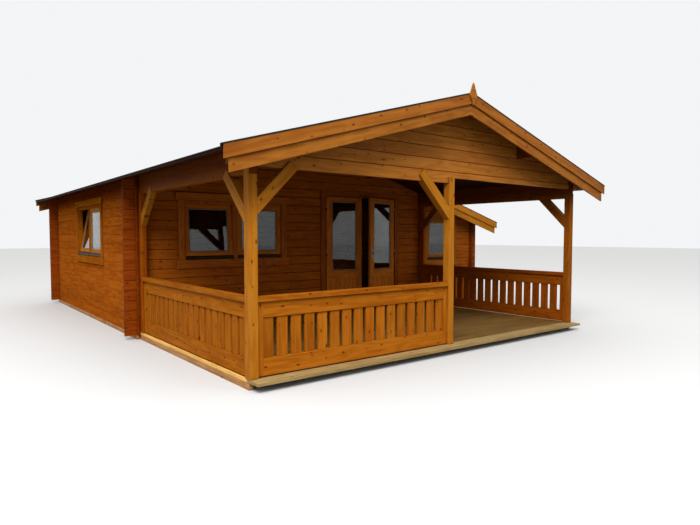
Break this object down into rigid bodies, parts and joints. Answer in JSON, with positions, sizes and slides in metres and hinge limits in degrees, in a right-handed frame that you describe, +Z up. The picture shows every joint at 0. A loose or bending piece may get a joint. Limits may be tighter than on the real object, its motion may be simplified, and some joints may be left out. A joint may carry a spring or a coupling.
{
  "type": "log cabin",
  "caption": "Gabled plank-log cabin with a full-width railed veranda, double door, casement windows and a lean-to side room.",
  "frame": {"origin": "middle of the footprint's bounding box, at ground level", "axes": "+Z up, -Y out of the veranda front, +X to the right when the front is faced"},
  "size_m": [7.716, 9.087, 3.1211],
  "materials": {
    "log_wall": "orange-brown stained, satin",
    "post_timber": "golden stained, satin",
    "trim_timber": "golden stained, satin",
    "deck_timber": "oiled, weathered",
    "foundation_timber": "pressure-treated, dark",
    "roof_boards": "dark stained underside",
    "roofing_felt": "mineral bitumen felt",
    "window_glass": "clear",
    "hardware": "brushed"
  },
  "bodies": {
    "cabin": {"left_wall": "log_wall", "right_wall": "log_wall", "annex_wall": "log_wall", "front_wall_left": "log_wall", "front_wall_right": "log_wall", "front_wall_over_door": "log_wall", "back_wall": "log_wall", "veranda_gable": "log_wall", "eaves_beams": "post_timber", "purlins": "post_timber", "corner_post_left": "post_timber", "corner_post_right": "post_timber", "middle_post": "post_timber", "wall_posts": "post_timber", "braces": "post_timber", "railing_front": "post_timber", "railing_left": "post_timber", "railing_right": "post_timber", "bargeboards_front": "trim_timber", "bargeboards_back": "trim_timber", "bargeboards_annex": "trim_timber", "front_window_frame": "trim_timber", "side_window_frame": "trim_timber", "front_window_sashes": "trim_timber", "side_window_sashes": "trim_timber", "annex_window": "trim_timber", "door_frame": "trim_timber", "veranda_deck": "deck_timber", "deck_edging": "deck_timber", "floors": "deck_timber", "foundation_beams": "foundation_timber", "roof_boards_left": "roof_boards", "roof_boards_right": "roof_boards", "roof_boards_annex": "roof_boards", "roofing_felt": "roofing_felt", "front_window_glass": "window_glass", "side_window_glass": "window_glass", "annex_window_glass": "window_glass", "door_hinges": "hardware"},
    "left_leaf": {"door_leaf_left": "trim_timber", "door_glass_left": "window_glass", "door_hardware_left": "hardware"},
    "right_leaf": {"door_leaf_right": "trim_timber", "door_glass_right": "window_glass", "door_hardware_right": "hardware"}
  },
  "joints": [
    {"name": "left_leaf_hinge", "type": "hinge", "parent": "cabin", "child": "left_leaf", "pos_m": [-0.3925, -1.1195, 0.131], "axis": [0, 0, -1], "range_deg": [0, 100]},
    {"name": "right_leaf_hinge", "type": "hinge", "parent": "cabin", "child": "right_leaf", "pos_m": [1.1535, -1.1195, 0.131], "axis": [0, 0, 1], "range_deg": [-15, 85]}
  ]
}
